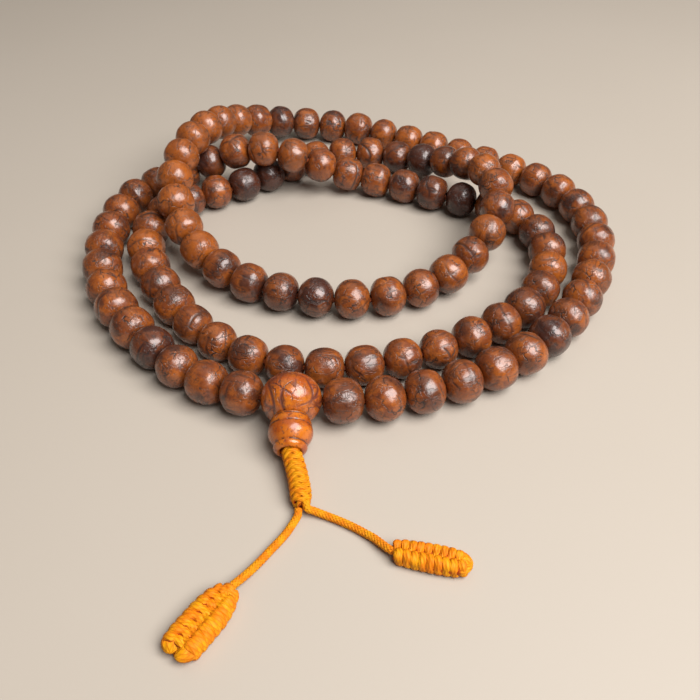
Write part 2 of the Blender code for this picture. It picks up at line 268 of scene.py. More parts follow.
def smooth_curve(points, steps=16):
    """A centripetal Catmull-Rom curve through the points, as closely spaced places."""
    knots = [Vector(p) for p in points]
    knots = [2 * knots[0] - knots[1], *knots, 2 * knots[-1] - knots[-2]]
    places = []
    for p0, p1, p2, p3 in zip(knots, knots[1:], knots[2:], knots[3:]):
        t1 = math.sqrt((p1 - p0).length)
        t2 = t1 + math.sqrt((p2 - p1).length)
        t3 = t2 + math.sqrt((p3 - p2).length)
        for step in range(steps):
            t = t1 + (t2 - t1) * step / steps
            a1 = p0.lerp(p1, t / t1)
            a2 = p1.lerp(p2, (t - t1) / (t2 - t1))
            a3 = p2.lerp(p3, (t - t2) / (t3 - t2))
            b1 = a1.lerp(a2, t / t2)
            b2 = a2.lerp(a3, (t - t1) / (t3 - t1))
            places.append(b1.lerp(b2, (t - t1) / (t2 - t1)))
    places.append(knots[-2])
    return places


def evenly_spaced(places, count):
    """The curve's places read again as count equal steps along it."""
    places = np.array(places)
    lengths = path_lengths(places)
    wanted = np.linspace(0, lengths[-1], count + 1)
    return np.stack([np.interp(wanted, lengths, places[:, axis]) for axis in range(3)], axis=1)


def path_lengths(places):
    """How far along the path each place is."""
    steps = np.linalg.norm(np.diff(places, axis=0), axis=1)
    return np.concatenate([[0.0], np.cumsum(steps)])


def resampled(places, step):
    """The path again, with a place every step."""
    length = path_lengths(np.array(places))[-1]
    return evenly_spaced(places, max(2, round(length / step)))


def unit(vector):
    """The same direction with a length of 1."""
    return vector / np.linalg.norm(vector)


def frames_along(places):
    """Directions along, across and above a path at each of its places, turning as little as
    they can."""
    along = np.gradient(places, axis=0)
    along /= np.linalg.norm(along, axis=1)[:, None]
    above = np.array((0.0, 0.0, 1.0))
    if abs(along[0] @ above) > 0.9:
        above = np.array((0.0, 1.0, 0.0))
    aboves = []
    for direction in along:
        above = above - (above @ direction) * direction
        above = above / np.linalg.norm(above)
        aboves.append(above)
    aboves = np.array(aboves)
    return along, np.cross(aboves, along), aboves


# ---- Meshes ---------------------------------------------------------------------------------


def band_faces(rings, sides, start=0, looped=False):
    """Quads between successive rings of vertices."""
    faces = []
    for ring in range(rings if looped else rings - 1):
        near = start + ring * sides
        far = start + (ring + 1) % rings * sides
        for side in range(sides):
            after = (side + 1) % sides
            faces.append((near + side, near + after, far + after, far + side))
    return faces


def cap_faces(rings, sides, start=0):
    """The two ends of a capped tube."""
    last = start + (rings - 1) * sides
    return [
        tuple(start + side for side in reversed(range(sides))),
        tuple(last + side for side in range(sides)),
    ]


def mesh_piece(name, vertices, faces, finish, attributes=None):
    """A smooth mesh object, with a float or vector per vertex for each named attribute."""
    data = bpy.data.meshes.new(name)
    data.from_pydata([tuple(v) for v in vertices], [], faces)
    for label, values in (attributes or {}).items():
        values = np.asarray(values, np.float32)
        is_vector = values.ndim == 2
        layer = data.attributes.new(label, "FLOAT_VECTOR" if is_vector else "FLOAT", "POINT")
        layer.data.foreach_set("vector" if is_vector else "value", values.ravel())
    data.shade_smooth()
    data.materials.append(finish)
    piece = bpy.data.objects.new(name, data)
    bpy.context.scene.collection.objects.link(piece)
    return piece


class Bundle:
    """Strands of cord gathered into one mesh, each vertex knowing where it is on its strand."""

    def __init__(self):
        self.vertices = []
        self.faces = []
        self.strand = []
        self.relief = []
        self.count = 0

    def add(self, places, radius, sides=10, spine=None, flat=1.0, relief=None):
        """A capped tube round the places. The spine is what the strand wraps: the vertices that face
        away from it get painted light and stand out, and the others get painted shade."""
        places = np.asarray(places, float)
        radius = np.broadcast_to(radius, len(places))
        along, across, above = frames_along(places)
        if spine is not None:
            out = places - spine
            out -= (out * along).sum(1)[:, None] * along
            out /= np.maximum(np.linalg.norm(out, axis=1), 1e-9)[:, None]
            above, across = out, np.cross(out, along)
        lengths = path_lengths(places)
        for place in range(len(places)):
            for side in range(sides):
                angle = 2 * math.pi * side / sides
                lift = math.cos(angle)
                offset = flat * lift * above[place] + math.sin(angle) * across[place]
                self.vertices.append(places[place] + radius[place] * offset)
                self.strand.append((lengths[place] * 1000, math.sin(angle), lift))
                # painted light: full where the side faces away from the spine, painted shade where it faces it
                self.relief.append(lift if relief is None else relief[place])
        self.faces += band_faces(len(places), sides, self.count)
        self.faces += cap_faces(len(places), sides, self.count)
        self.count += len(places) * sides

    def piece(self, name, finish):
        attributes = {"strand": self.strand, "relief": self.relief}
        return mesh_piece(name, self.vertices, self.faces, finish, attributes)


# ---- Materials ------------------------------------------------------------------------------


class Shading:
    """A material's node tree, with short calls that add a node and give back its output."""

    def __init__(self, name):
        self.material = bpy.data.materials.new(name)
        self.material.use_nodes = True
        self.tree = self.material.node_tree
        self.shader = self.tree.nodes["Principled BSDF"]

    def add(self, kind, inputs=None, output=0, **settings):
        made = self.tree.nodes.new("ShaderNode" + kind)
        for key, value in settings.items():
            setattr(made, key, value)
        for key, value in (inputs or {}).items():
            self.set(made.inputs[key], value)
        return made.outputs[output]

    def set(self, socket, value):
        if isinstance(value, bpy.types.NodeSocket):
            self.tree.links.new(value, socket)
        else:
            socket.default_value = value

    def attribute(self, label, output="Vector"):
        return self.add("Attribute", output=output, attribute_name=label)

    def noise(self, place, scale, detail=3.0, roughness=0.55, output="Fac"):
        inputs = {"Vector": place, "Scale": scale, "Detail": detail, "Roughness": roughness}
        return self.add("TexNoise", inputs, output)

    def cells(self, place, scale):
        """How far each place is from the nearest edge between random cells."""
        inputs = {"Vector": place, "Scale": scale, "Randomness": 1.0}
        return self.add("TexVoronoi", inputs, "Distance", feature="DISTANCE_TO_EDGE")

    def math(self, operation, first, second=0.0, clamp=False):
        inputs = {0: first, 1: second}
        return self.add("Math", inputs, operation=operation, use_clamp=clamp)

    def vector_math(self, operation, first, second):
        return self.add("VectorMath", {0: first, 1: second}, operation=operation)

    def ramp(self, value, start, end, low=0.0, high=1.0):
        """The value mapped smoothly from start..end to low..high."""
        inputs = {
            "Value": value,
            "From Min": start,
            "From Max": end,
            "To Min": low,
            "To Max": high,
        }
        return self.add("MapRange", inputs, interpolation_type="SMOOTHSTEP")

    def mix(self, factor, first, second):
        return self.add("Mix", {0: factor, 6: first, 7: second}, output=2, data_type="RGBA")

    def bump(self, height, distance, strength=1.0):
        inputs = {"Height": height, "Distance": distance, "Strength": strength}
        self.set(self.shader.inputs["Normal"], self.add("Bump", inputs))


def seed_material(name, light, middle, dark, crack, roughness=0.27, wrinkled=0.65):
    """Polished seed: mottled brown with darker patches, thin dark veins and a few pits."""
    s = Shading(name)
    grain = s.attribute("grain")
    tone = s.attribute("tone", "Fac")
    groove = s.attribute("groove", "Fac")
    warp = s.noise(grain, 2.2, 2.0, output="Color")
    bent = s.vector_math("ADD", grain, s.vector_math("MULTIPLY", warp, (0.55, 0.55, 0.55)))

    mottle = s.ramp(s.noise(bent, 1.6, 6.0, 0.62), 0.38, 0.66)
    patches = s.ramp(s.noise(bent, 0.8, 2.0), 0.48, 0.66)
    speckle = s.ramp(s.noise(grain, 8.0, 4.0, 0.7), 0.50, 0.66)

    veins = s.ramp(s.cells(bent, 1.3), 0.045, 0.005)
    veins = s.math("MULTIPLY", veins, s.ramp(s.noise(grain, 1.1, 1.0), 0.50, 0.58))
    wrinkles = s.ramp(s.cells(bent, 4.2), 0.10, 0.0)
    wrinkles = s.math("MULTIPLY", wrinkles, s.ramp(s.noise(grain, 1.7, 1.0), 0.48, 0.62))
    lengthwise = s.vector_math("MULTIPLY", grain, (0.9, 6.0, 6.0))
    streaks = s.ramp(s.noise(lengthwise, 1.0, 3.0), 0.56, 0.66)
    lines = s.math("MAXIMUM", veins, s.math("MULTIPLY", wrinkles, wrinkled))
    lines = s.math("MAXIMUM", lines, s.math("MULTIPLY", streaks, 0.55))
    lines = s.math("MAXIMUM", lines, groove)
    halo = s.ramp(groove, 0.0, 0.5, 0.0, 0.6)

    colour = s.mix(mottle, middle, light)
    shade = s.math("MULTIPLY", patches, 0.80)
    shade = s.math("ADD", shade, s.math("MULTIPLY", speckle, 0.30), clamp=True)
    shade = s.math("MAXIMUM", shade, halo)
    shade = s.math("ADD", shade, s.ramp(tone, 0.5, 0.0), clamp=True)
    colour = s.mix(shade, colour, dark)
    colour = s.mix(s.ramp(tone, 0.5, 1.0, 0.0, 0.60), colour, light)
    colour = s.mix(s.math("MULTIPLY", lines, 0.92), colour, crack)
    s.set(s.shader.inputs["Base Color"], colour)

    rough = s.ramp(s.noise(grain, 3.0), 0.3, 0.7, roughness - 0.06, roughness + 0.08)
    rough = s.math("ADD", rough, s.math("MULTIPLY", lines, 0.25), clamp=True)
    s.set(s.shader.inputs["Roughness"], rough)
    s.set(s.shader.inputs["Specular IOR Level"], 0.62)
    s.set(s.shader.inputs["Coat Weight"], 0.30)
    s.set(s.shader.inputs["Coat Roughness"], 0.18)

    height = s.math("MULTIPLY", lines, -1.0)
    height = s.math("ADD", height, s.math("MULTIPLY", s.noise(grain, 6.0, 3.0), 0.25))
    s.bump(height, 0.00012, 0.8)
    return s.material


def cord_material(name, yarns=9, yarn_length=1.05, fine=1.0):
    """Braided orange cord. Yarns run both ways round it, each over and under in turn, and painted
    shade makes the colour redder where strands and yarns meet."""
    s = Shading(name)
    strand = s.attribute("strand")
    length = s.add("SeparateXYZ", {0: strand}, "X")
    sine = s.add("SeparateXYZ", {0: strand}, "Y")
    cosine = s.add("SeparateXYZ", {0: strand}, "Z")
    relief = s.attribute("relief", "Fac")
    place = s.add("TexCoord", output="Object")

    along = s.math("DIVIDE", length, yarn_length)
    around = s.math("MULTIPLY", s.math("ARCTAN2", sine, cosine), yarns / (2 * math.pi))
    left = s.math("ADD", along, around)
    right = s.math("SUBTRACT", along, around)
    turns = s.math("ADD", s.math("FLOOR", left), s.math("FLOOR", right))
    over = s.math("FLOORED_MODULO", turns, 2.0)
    ridge_left = s.math("SINE", s.math("MULTIPLY", s.math("FRACT", left), math.pi))
    ridge_right = s.math("SINE", s.math("MULTIPLY", s.math("FRACT", right), math.pi))
    difference = s.math("SUBTRACT", ridge_right, ridge_left)
    plait = s.math("ADD", ridge_left, s.math("MULTIPLY", over, difference))
    fuzz = s.noise(place, 2600.0, 2.0)
    patchy = s.noise(place, 420.0, 2.0)

    colour = s.mix(s.ramp(patchy, 0.35, 0.65), CORD_ORANGE, CORD_YELLOW)
    # painted shade: a deeper orange where the plait dips between yarns
    colour = s.mix(s.ramp(plait, 0.65, 0.0, 0.0, 0.65 * fine), colour, CORD_YARN_SHADE)
    # painted shade on strand sides that face the spine, and on the cores
    colour = s.mix(s.ramp(relief, 0.55, -0.15), colour, CORD_PAINTED_SHADE)
    s.set(s.shader.inputs["Base Color"], colour)
    s.set(s.shader.inputs["Roughness"], 0.62)
    s.set(s.shader.inputs["Specular IOR Level"], 0.22)
    height = s.math("ADD", s.math("MULTIPLY", plait, fine), s.math("MULTIPLY", fuzz, 0.6))
    s.bump(height, 0.00011, 0.8)
    return s.material


def core_material(name, shade, colour):
    """Cord seen between strands or beads, with no plait of its own. For the knot's core, the
    first colour is painted shade.
    """
    s = Shading(name)
    place = s.add("TexCoord", output="Object")
    patchy = s.ramp(s.noise(place, 900.0, 2.0), 0.35, 0.65)
    s.set(s.shader.inputs["Base Color"], s.mix(patchy, shade, colour))
    s.set(s.shader.inputs["Roughness"], 0.85)
    s.bump(s.noise(place, 1800.0), 0.00005)
    return s.material


def floor_material():
    """Pale and plain, with a faint cloud in its colour."""
    s = Shading("floor")
    place = s.add("TexCoord", output="Object")
    cloud = s.ramp(s.noise(place, 6.0, 3.0), 0.3, 0.7, 0.0, 0.25)
    pale = s.mix(cloud, FLOOR_CREAM, (0.46, 0.415, 0.36, 1.0))
    s.set(s.shader.inputs["Base Color"], pale)
    s.set(s.shader.inputs["Roughness"], 0.55)
    s.bump(s.noise(place, 900.0, 3.0), 0.00002, 0.5)
    return s.material


# ---- Seed beads -----------------------------------------------------------------------------


def random_direction(rng):
    """Any direction, with all of them equally likely."""
    height = rng.uniform(-1, 1)
    turn = rng.uniform(0, 2 * math.pi)
    level = math.sqrt(1 - height * height)
    return np.array((height, level * math.cos(turn), level * math.sin(turn)))


def lumps(directions, rng, size):
    """Slow swellings and dips over a sphere of directions."""
    total = np.zeros(directions.shape[:-1])
    for _ in range(6):
        across = directions @ random_direction(rng)
        total += np.sin(rng.uniform(1.5, 3.5) * across * math.pi + rng.uniform(0, 6.28))
    return size * total / 6


def fissure(start, heading, length, rng, bends=0.5):
    """A wandering line over the unit sphere."""
    steps = 28
    place = start / np.linalg.norm(start)
    heading = heading - (heading @ place) * place
    heading /= np.linalg.norm(heading)
    line = [place]
    turn = rng.uniform(-bends, bends)
    for step in range(steps):
        if step % 5 == 0:
            turn = rng.uniform(-bends, bends)
        side = np.cross(place, heading)
        heading = heading + side * turn * length / steps * 4
        place = place + heading * length / steps
        place /= np.linalg.norm(place)
        heading = heading - (heading @ place) * place
        heading /= np.linalg.norm(heading)
        line.append(place)
    return np.array(line)


def groove_depth(directions, line, width):
    """1 along the line, falling to 0 at its sides and towards its ends."""
    flat = directions.reshape(-1, 3)
    away = np.linalg.norm(flat[:, None, :] - line[None, :, :], axis=2)
    nearest = away.argmin(axis=1)
    share = nearest / (len(line) - 1)
    fade = np.sin(math.pi * np.clip(share, 0.02, 0.98)) ** 0.5
    depth = np.exp(-((away.min(axis=1) / width) ** 2)) * fade
    return depth.reshape(directions.shape[:-1])


def seed_grooves(rng):
    """A seam part way round the waist with short splits that branch from it, and a few others.

    Each is a line over the unit sphere with its width."""
    lean = rng.uniform(-0.35, 0.35)
    turn = rng.uniform(0, 2 * math.pi)
    waist = np.array((lean, math.cos(turn), math.sin(turn)))
    round_waist = np.array((rng.uniform(-0.3, 0.3), -math.sin(turn), math.cos(turn)))
    seam = fissure(waist, round_waist, rng.uniform(1.6, 3.2), rng, 0.4)
    grooves = [(seam, rng.uniform(0.05, 0.075))]
    along = np.array((1.0, 0.0, 0.0))
    for _ in range(rng.choice((2, 3, 4))):
        place = seam[rng.randrange(3, len(seam) - 3)]
        heading = rng.choice((-1, 1)) * along + 0.5 * random_direction(rng)
        grooves.append((fissure(place, heading, rng.uniform(0.3, 0.75), rng, 0.7), 0.045))
    for _ in range(rng.choice((2, 3))):
        heading = random_direction(rng)
        line = fissure(random_direction(rng), heading, rng.uniform(0.4, 1.1), rng, 0.8)
        grooves.append((line, 0.045))
    return grooves


def circle(sides):
    """The sides of a circle of radius 1, as places in its plane."""
    turn = np.arange(sides) * 2 * math.pi / sides
    return np.stack([np.cos(turn), np.sin(turn)], axis=1)


def ball_directions(tilt, sides):
    """Directions over a ball, in one ring round X for each tilt from its waist."""
    directions = np.zeros((len(tilt), sides, 3))
    directions[..., 0] = np.sin(tilt)[:, None]
    directions[..., 1:] = np.cos(tilt)[:, None, None] * circle(sides)
    return directions


def seed_shape(rng, size):
    """A bead's rings of vertices along X, with how deep in a groove each one is."""
    radius = BEAD_RADIUS * size
    half_length = BEAD_RADIUS * rng.uniform(0.935, 0.955)
    power = 2 / (BEAD_SQUARENESS + rng.uniform(-0.15, 0.25))
    mouth = math.acos(((BORE_RADIUS + BORE_MARGIN) / radius) ** (1 / power))
    tilt = np.linspace(-mouth, mouth, BEAD_RINGS)
    along = half_length * np.sign(np.sin(tilt)) * np.abs(np.sin(tilt)) ** power
    out = radius * np.cos(tilt) ** power
    around = circle(BEAD_SIDES)
    directions = ball_directions(tilt, BEAD_SIDES)
    depth = np.zeros((BEAD_RINGS, BEAD_SIDES))
    for line, width in seed_grooves(rng):
        depth = np.maximum(depth, rng.uniform(0.45, 1.0) * groove_depth(directions, line, width))
    swell = 1 + lumps(directions, rng, 0.03) - 0.030 * depth
    skin = np.zeros((BEAD_RINGS, BEAD_SIDES, 3))
    skin[..., 0] = along[:, None] * (0.5 + 0.5 * swell)
    skin[..., 1:] = (out[:, None] * swell)[..., None] * around
    inner = np.zeros((3, BEAD_SIDES, 3))
    inner[..., 0] = np.array((0.88, 0.0, -0.88))[:, None] * half_length
    inner[..., 1:] = BORE_RADIUS * around
    rings = np.concatenate([skin, inner]).reshape(-1, 3)
    depth = np.concatenate([depth, np.ones((3, BEAD_SIDES))]).ravel()
    return rings, depth


def bead_tone(number, rng):
    """0 is a blackish bead, 0.5 an ordinary one and 1 an orange one."""
    if number in BLACKISH_BEADS:
        return rng.uniform(0.04, 0.12)
    if number in DARK_BEADS:
        return rng.uniform(0.22, 0.30)
    # lighter beads, partly painted highlight
    if number in LIGHT_AND_HIGHLIT_BEADS:
        return rng.uniform(0.75, 0.95)
    return rng.uniform(0.36, 0.60)


def standing(axis):
    """The turn that takes X to the axis and keeps Z as near to up as it can be."""
    axis = unit(np.array(axis))
    side = unit(np.cross((0.0, 0.0, 1.0), axis))
    return np.stack([axis, side, np.cross(axis, side)], axis=1)


def seed_bead(number, start, end, faces, finish):
    """One seed bead on the string from start to end."""
    rng = random.Random(number)
    size = max(entry for entry in BEAD_SIZES if entry[0] <= number)[1]
    vertices, depth = seed_shape(rng, size * rng.uniform(0.985, 1.015))
    turned = vertices @ standing(end - start).T
    lift = max(0.0, -turned[:, 2].min() - (start[2] + end[2]) / 2)
    tone = bead_tone(number, rng)
    offset = np.array([rng.uniform(-50, 50) for _ in range(3)])
    attributes = {
        "grain": vertices / BEAD_RADIUS + offset,
        "tone": np.full(len(vertices), tone),
        "groove": depth,
    }
    bead = mesh_piece(f"seed_{number:03d}", turned, faces, finish, attributes)
    bead.location = Vector(start + end) / 2
    bead.location.z += lift
    return bead


def node_of_bead(number):
    """The CAD node that holds this bead: its own, or a run such as beads_009_016."""
    own = f"bead_{number:03d}"
    if own in frame["nodes"]:
        return own
    for name in frame["nodes"]:
        if name.startswith("beads_") and int(name[6:9]) <= number <= int(name[10:13]):
            return name
    raise ValueError(f"no CAD node holds bead {number}")


def make_seed_beads():
    """All the beads, each on the body that holds its CAD node."""
    finish = seed_material(
        "seed",
        light=(0.360, 0.096, 0.013, 1.0),
        middle=(0.180, 0.043, 0.010, 1.0),
        dark=(0.056, 0.017, 0.010, 1.0),
        crack=(0.012, 0.007, 0.007, 1.0),
    )
    gaps = evenly_spaced(smooth_curve(STRING_ROUTE), BEAD_COUNT)
    gaps[:, 2] = np.maximum(gaps[:, 2], BEAD_RADIUS)
    faces = band_faces(BEAD_RINGS + 3, BEAD_SIDES, looped=True)
    for number in range(1, BEAD_COUNT + 1):
        bead = seed_bead(number, gaps[number - 1], gaps[number], faces, finish)
        node = node_of_bead(number)
        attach(bead, NODE_BODY[node])
        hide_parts(node)


# ---- Guru and tower beads -------------------------------------------------------------------


def guru_grooves(directions, rng):
    """How deep in a seam each direction is. Short branches leave the seams."""
    depth = np.zeros(directions.shape[:-1])
    for seam in range(GURU_SEAMS):
        lean = 2 * math.pi * (seam + rng.uniform(-0.3, 0.3)) / GURU_SEAMS
        start = np.array((rng.uniform(-0.9, 0.1), math.cos(lean), math.sin(lean)))
        line = fissure(start, np.array((1.0, 0, 0)), rng.uniform(0.8, 1.6), rng, 0.45)
        depth = np.maximum(depth, rng.uniform(0.8, 1.0) * groove_depth(directions, line, 0.048))
        for _ in range(3):
            place = line[rng.randrange(2, len(line) - 2)]
            branch = fissure(place, random_direction(rng), rng.uniform(0.2, 0.55), rng, 1.1)
            split = rng.uniform(0.5, 0.9) * groove_depth(directions, branch, 0.03)
            depth = np.maximum(depth, split)
    return depth


def make_guru_bead():
    """A large seed whose seams run from behind towards the tower bead."""
    rng = random.Random(7)
    tilt = np.linspace(-1.5, 1.5, GURU_RINGS)
    directions = ball_directions(tilt, GURU_SIDES)
    depth = guru_grooves(directions, rng)
    swell = 1 + lumps(directions, rng, 0.012) - 0.022 * depth
    vertices = GURU_RADIUS * (directions * swell[..., None]).reshape(-1, 3)
    vertices[:, 0] *= GURU_DEPTH
    faces = band_faces(GURU_RINGS, GURU_SIDES) + cap_faces(GURU_RINGS, GURU_SIDES)
    finish = seed_material(
        "guru",
        light=(0.560, 0.160, 0.010, 1.0),
        middle=(0.370, 0.072, 0.008, 1.0),
        dark=(0.120, 0.020, 0.012, 1.0),
        crack=(0.045, 0.013, 0.018, 1.0),
        roughness=0.22,
        wrinkled=0.30,
    )
    attributes = {
        "grain": vertices / BEAD_RADIUS + 11.0,
        "tone": np.full(len(vertices), 0.55),
        "groove": depth.ravel(),
    }
    turned = vertices @ standing(DROP_AXIS).T
    turned[:, 2] = np.maximum(turned[:, 2], -GURU_CENTRE.z)  # it rests on the floor
    guru = mesh_piece("guru_seed", turned, faces, finish, attributes)
    guru.location = GURU_CENTRE
    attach(guru, "strand")
    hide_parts("guru_bead")


# Outline of the tower bead, from its cupped seat to the bore in its lip: distance from the guru
# bead's centre and radius, as shares of the guru bead's radius.
TOWER_SEAT = [(0.905, 0.200), (0.862, 0.340), (0.800, 0.485), (0.758, 0.574)]
TOWER_RIM = [(0.763, 0.590), (0.780, 0.606), (0.812, 0.622), (0.826, 0.612)]
TOWER_NECK = [
    (0.842, 0.632),
    (0.900, 0.652),
    (0.980, 0.670),
    (1.060, 0.684),
    (1.100, 0.688),
    (1.116, 0.676),
]
TOWER_TIER = [
    (1.132, 0.694),
    (1.180, 0.708),
    (1.240, 0.715),
    (1.310, 0.713),
    (1.380, 0.700),
    (1.450, 0.675),
    (1.520, 0.640),
    (1.590, 0.594),
    (1.650, 0.550),
    (1.690, 0.522),
    (1.706, 0.508),
]
TOWER_LIP = [
    (1.722, 0.514),
    (1.740, 0.528),
    (1.780, 0.540),
    (1.830, 0.530),
    (1.880, 0.500),
    (1.920, 0.455),
    (1.938, 0.415),
    (1.936, 0.375),
    (1.915, 0.350),
]
TOWER_BORE = [(1.860, 0.340), (1.800, 0.335), (1.760, 0.220), (1.500, 0.205)]
TOWER_OUTLINE = TOWER_SEAT + TOWER_RIM + TOWER_NECK + TOWER_TIER + TOWER_LIP + TOWER_BORE
TOWER_GROOVES = (0.826, 1.116, 1.706)


def make_tower_bead():
    """A turned bead with two fine rings, a wide tier, a dark groove and a small lip."""
    outline = np.array(TOWER_OUTLINE) * GURU_RADIUS
    vertices = np.zeros((len(outline), TOWER_SIDES, 3))
    vertices[..., 0] = outline[:, 0][:, None]
    vertices[..., 1:] = outline[:, 1][:, None, None] * circle(TOWER_SIDES)
    vertices = vertices.reshape(-1, 3)
    share = vertices[:, 0] / GURU_RADIUS
    groove = np.zeros(len(vertices))
    for place in TOWER_GROOVES:
        groove = np.maximum(groove, np.exp(-(((share - place) / 0.020) ** 2)))
    finish = tower_material()
    attributes = {"grain": vertices / BEAD_RADIUS + 3.0, "groove": groove}
    faces = band_faces(len(outline), TOWER_SIDES, looped=True)
    turned = vertices @ standing(DROP_AXIS).T
    tower = mesh_piece("tower_turned", turned, faces, finish, attributes)
    tower.location = GURU_CENTRE
    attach(tower, "tower")
    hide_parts("tower_bead")


def tower_material():
    """Turned wood: orange brown with dark flecks that gather in the grooves."""
    s = Shading("tower")
    grain = s.attribute("grain")
    groove = s.attribute("groove", "Fac")
    mottle = s.ramp(s.noise(grain, 1.8, 5.0, 0.6), 0.35, 0.66)
    colour = s.mix(mottle, (0.320, 0.062, 0.006, 1.0), (0.540, 0.150, 0.010, 1.0))
    flecks = s.ramp(s.noise(grain, 8.0, 2.0), 0.60, 0.66)
    gathered = s.math("MULTIPLY", groove, s.ramp(s.noise(grain, 4.2, 1.0), 0.42, 0.52))
    marks = s.math("MAXIMUM", s.math("MULTIPLY", flecks, 0.55), gathered)
    colour = s.mix(s.math("MULTIPLY", groove, 0.45), colour, (0.170, 0.030, 0.008, 1.0))
    colour = s.mix(marks, colour, (0.030, 0.014, 0.014, 1.0))
    s.set(s.shader.inputs["Base Color"], colour)
    s.set(s.shader.inputs["Roughness"], s.ramp(s.noise(grain, 4.0), 0.3, 0.7, 0.20, 0.34))
    s.set(s.shader.inputs["Coat Weight"], 0.35)
    s.set(s.shader.inputs["Coat Roughness"], 0.15)
    height = s.math("SUBTRACT", s.math("MULTIPLY", s.noise(grain, 6.0, 3.0), 0.3), marks)
    s.bump(height, 0.00010, 0.6)
    return s.material


# ---- Cord -----------------------------------------------------------------------------------


def braid(bundle, spine, middle, strand_radius, pitch, pairs, weave, taper=None, flat=0.6, sides=6):
    """Strands wound both ways round the spine, each passing over and under in turn.

    The middle is the radius of the strands' own middles, which the weave lifts and lowers."""
    lengths = path_lengths(spine)
    _, across, above = frames_along(spine)
    shape = np.ones(len(spine)) if taper is None else taper(lengths / lengths[-1])
    crossing = pitch / (2 * pairs)
    for way in (1, -1):
        for strand in range(pairs):
            angle = way * 2 * math.pi * lengths / pitch + 2 * math.pi * strand / pairs
            lift = way * weave * np.cos(math.pi * lengths / crossing)
            out = ((middle + lift) * shape)[:, None]
            outward = np.cos(angle)[:, None] * above + np.sin(angle)[:, None] * across
            places = spine + out * outward
            bundle.add(places, strand_radius * shape, sides=sides, spine=spine, flat=flat)


def make_tail(name, route, root_lift, hand, finish):
    """A plaited tail from inside the gathering knot to the end of its leaf knot's core."""
    start = np.array(route[0])
    root = start + TAIL_ROOT * unit(np.array(knot_line()[-2]) - start) + (0, 0, root_lift)
    spine = resampled(smooth_curve([root, *route]), 0.00010)
    inside = spine[::5]
    radius = CORD_DIAMETER / 2
    bundle = Bundle()
    # the plait's core, seen between the strands, is all painted shade
    bundle.add(inside, PLAIT_CORE_RADIUS, sides=8, relief=np.zeros(len(inside)))
    braid(
        bundle,
        spine,
        middle=0.74 * radius,
        strand_radius=0.34 * radius,
        pitch=0.0050,
        pairs=6,
        weave=0.07 * radius,
    )
    tail = bundle.piece(name, finish)
    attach(tail, f"tail_{hand}")
    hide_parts(f"tail_cord_{hand}")


def leaf_axes(route):
    """Where the knot starts, how long it is, and its directions along and across."""
    start = np.array(route[LEAF_START])
    end = np.array(route[-1])
    axis = unit(end - start)
    return start, np.linalg.norm(end - start), axis, np.cross((0, 0, 1.0), axis)


def leaf_swell(shares, knot):
    """The knot's width at these shares of its length, as shares of its full width."""
    return np.interp(shares, knot["shares"], knot["swells"])


def add_winding(bundle, axes, knot):
    """The cord that winds in figures of eight from the tail to the tip."""
    start, length, axis, side = axes
    up = np.array((0.0, 0.0, 1.0))
    thick = LEAF_CORD_RADIUS
    pitch = (length + LEAF_OVERHANG) / knot["wraps"]
    places_per_wrap = 44
    count = knot["wraps"] * places_per_wrap + 1
    turn = np.linspace(0, 2 * math.pi * knot["wraps"], count)
    share = np.linspace(0, 1, count)

    reach = np.where(np.sin(turn) >= 0, 1 - knot["seam"], 1 + knot["seam"])
    wave = np.sign(np.sin(turn)) * np.abs(np.sin(turn)) ** 0.8
    half = knot["width"] / 2 - thick
    out = half * leaf_swell(share, knot) * (knot["seam"] + reach * wave)
    out -= knot["overlap"] * np.cos(turn)
    double = np.sin(2 * turn)
    lift = (knot["thickness"] / 2 - thick) * np.sign(double) * np.abs(double) ** 0.55
    lift *= np.interp(share, (0, 0.12, 0.92, 1.0), (0.75, 1.0, 1.0, 0.85))
    spine = start + (0.5 * pitch + (length - 0.6 * pitch) * share)[:, None] * axis
    sway = 0.12 * pitch * np.cos(turn)
    places = spine + sway[:, None] * axis + out[:, None] * side + lift[:, None] * up

    inner = np.clip(np.abs(out) - thick, 0, None) * np.sign(out)
    breadth = np.full(count, knot["breadth"] * pitch)
    for pinch in knot["pinches"]:
        near = np.clip(1 - np.abs(out - pinch) / knot["pinch_reach"], 0, 1)
        breadth *= 1 - 0.42 * near
    wrapped = spine + (0.97 * inner)[:, None] * side
    flat = thick / (knot["breadth"] * pitch)
    bundle.add(places, breadth, sides=14, spine=wrapped, flat=flat)


def add_core(bundle, axes, way, knot):
    """One of the two rounded cores, with painted shade except for its end."""
    start, length, axis, side = axes
    share = np.linspace(0, 1, 60)
    nose = np.sqrt(np.clip(1 - (np.clip(share - 0.87, 0, None) / 0.13) ** 2, 0.002, 1))
    swell = leaf_swell(share, knot)
    half = 0.5 * (knot["width"] / 2) * (1 - way * knot["seam"])
    middle = (knot["width"] / 2 * knot["seam"] + 0.88 * way * half) * swell
    middle *= 1 - knot["closed"] * np.clip((share - 0.85) / 0.15, 0, 1) ** 2
    spine = start + (0.0008 + (length + LEAF_OVERHANG) * share)[:, None] * axis
    places = spine + middle[:, None] * side
    flat = (knot["thickness"] / 2 - 0.0005) / half
    # painted shade over the core, with painted light only near its end
    relief = np.clip((share - 0.84) / 0.04, 0, 0.80)
    bundle.add(places, half * swell * nose, sides=20, flat=flat, relief=relief)


def make_leaf(name, route, knot, hand, finish):
    """A leaf knot: a cord wound in figures of eight round two flat cores, from the tail to the
    tip. Its strands cross at the seam and overlap there."""
    axes = leaf_axes(route)
    bundle = Bundle()
    add_winding(bundle, axes, knot)
    for way in (-1, 1):
        add_core(bundle, axes, way, knot)
    leaf = bundle.piece(name, finish)
    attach(leaf, f"tail_{hand}")
    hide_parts(f"leaf_knot_{hand}")
    return leaf


